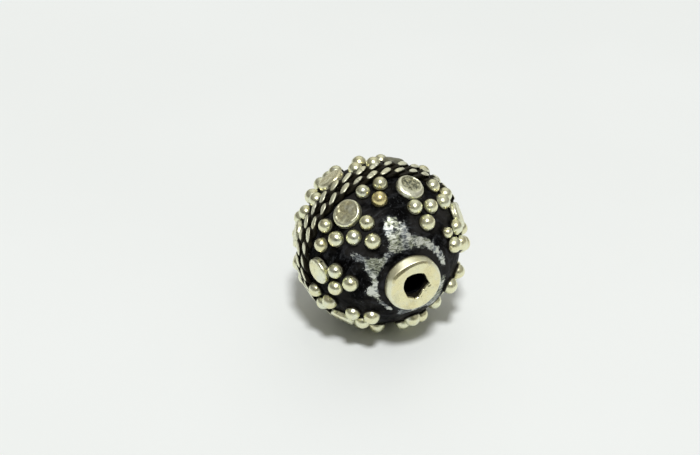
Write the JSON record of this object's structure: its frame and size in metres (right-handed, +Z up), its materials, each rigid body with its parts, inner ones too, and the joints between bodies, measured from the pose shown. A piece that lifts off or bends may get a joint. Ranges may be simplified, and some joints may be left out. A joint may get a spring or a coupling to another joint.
{
  "type": "granulated silver bead",
  "caption": "Hollow round metal bead with a collared stringing hole, twisted wire ropes round its seam, and rows of discs and granule triangles on a blackened ground.",
  "frame": {"origin": "the bead's centre, which is the middle of the stringing hole", "axes": "Y along the stringing hole, with the pictured collar towards -Y; +Z up as the bead lies in the picture; +X to the right seen from that collar"},
  "size_m": [0.012, 0.0118, 0.012],
  "materials": {
    "blackened_silver": "blackened sheet silver, satin, scuffed bright round the hole",
    "collar_silver": "polished with fine scratches, dark where it meets the shell",
    "wire_silver": "polished on the crowns, blackened between the strands",
    "disc_silver": "hammered flat, worn bright on the rim",
    "granule_silver": "polished ball, blackened at its foot"
  },
  "bodies": {
    "root": {"back_collar": "collar_silver", "back_disc_1": "disc_silver", "back_disc_2": "disc_silver", "back_disc_3": "disc_silver", "back_disc_4": "disc_silver", "back_disc_5": "disc_silver", "back_disc_6": "disc_silver", "back_disc_7": "disc_silver", "back_half_shell": "blackened_silver", "back_mid_granules_1": "granule_silver", "back_mid_granules_2": "granule_silver", "back_mid_granules_3": "granule_silver", "back_mid_granules_4": "granule_silver", "back_mid_granules_5": "granule_silver", "back_mid_granules_6": "granule_silver", "back_mid_granules_7": "granule_silver", "back_near_granules_1": "granule_silver", "back_near_granules_2": "granule_silver", "back_near_granules_3": "granule_silver", "back_near_granules_4": "granule_silver", "back_near_granules_5": "granule_silver", "back_near_granules_6": "granule_silver", "back_near_granules_7": "granule_silver", "back_rope_strand_a": "wire_silver", "back_rope_strand_b": "wire_silver", "front_collar": "collar_silver", "front_disc_1": "disc_silver", "front_disc_2": "disc_silver", "front_disc_3": "disc_silver", "front_disc_4": "disc_silver", "front_disc_5": "disc_silver", "front_disc_6": "disc_silver", "front_disc_7": "disc_silver", "front_half_shell": "blackened_silver", "front_mid_granules_1": "granule_silver", "front_mid_granules_2": "granule_silver", "front_mid_granules_3": "granule_silver", "front_mid_granules_4": "granule_silver", "front_mid_granules_5": "granule_silver", "front_mid_granules_6": "granule_silver", "front_mid_granules_7": "granule_silver", "front_near_granules_1": "granule_silver", "front_near_granules_2": "granule_silver", "front_near_granules_3": "granule_silver", "front_near_granules_4": "granule_silver", "front_near_granules_5": "granule_silver", "front_near_granules_6": "granule_silver", "front_near_granules_7": "granule_silver", "front_rope_strand_a": "wire_silver", "front_rope_strand_b": "wire_silver", "stray_granule": "granule_silver"}
  },
  "joints": []
}
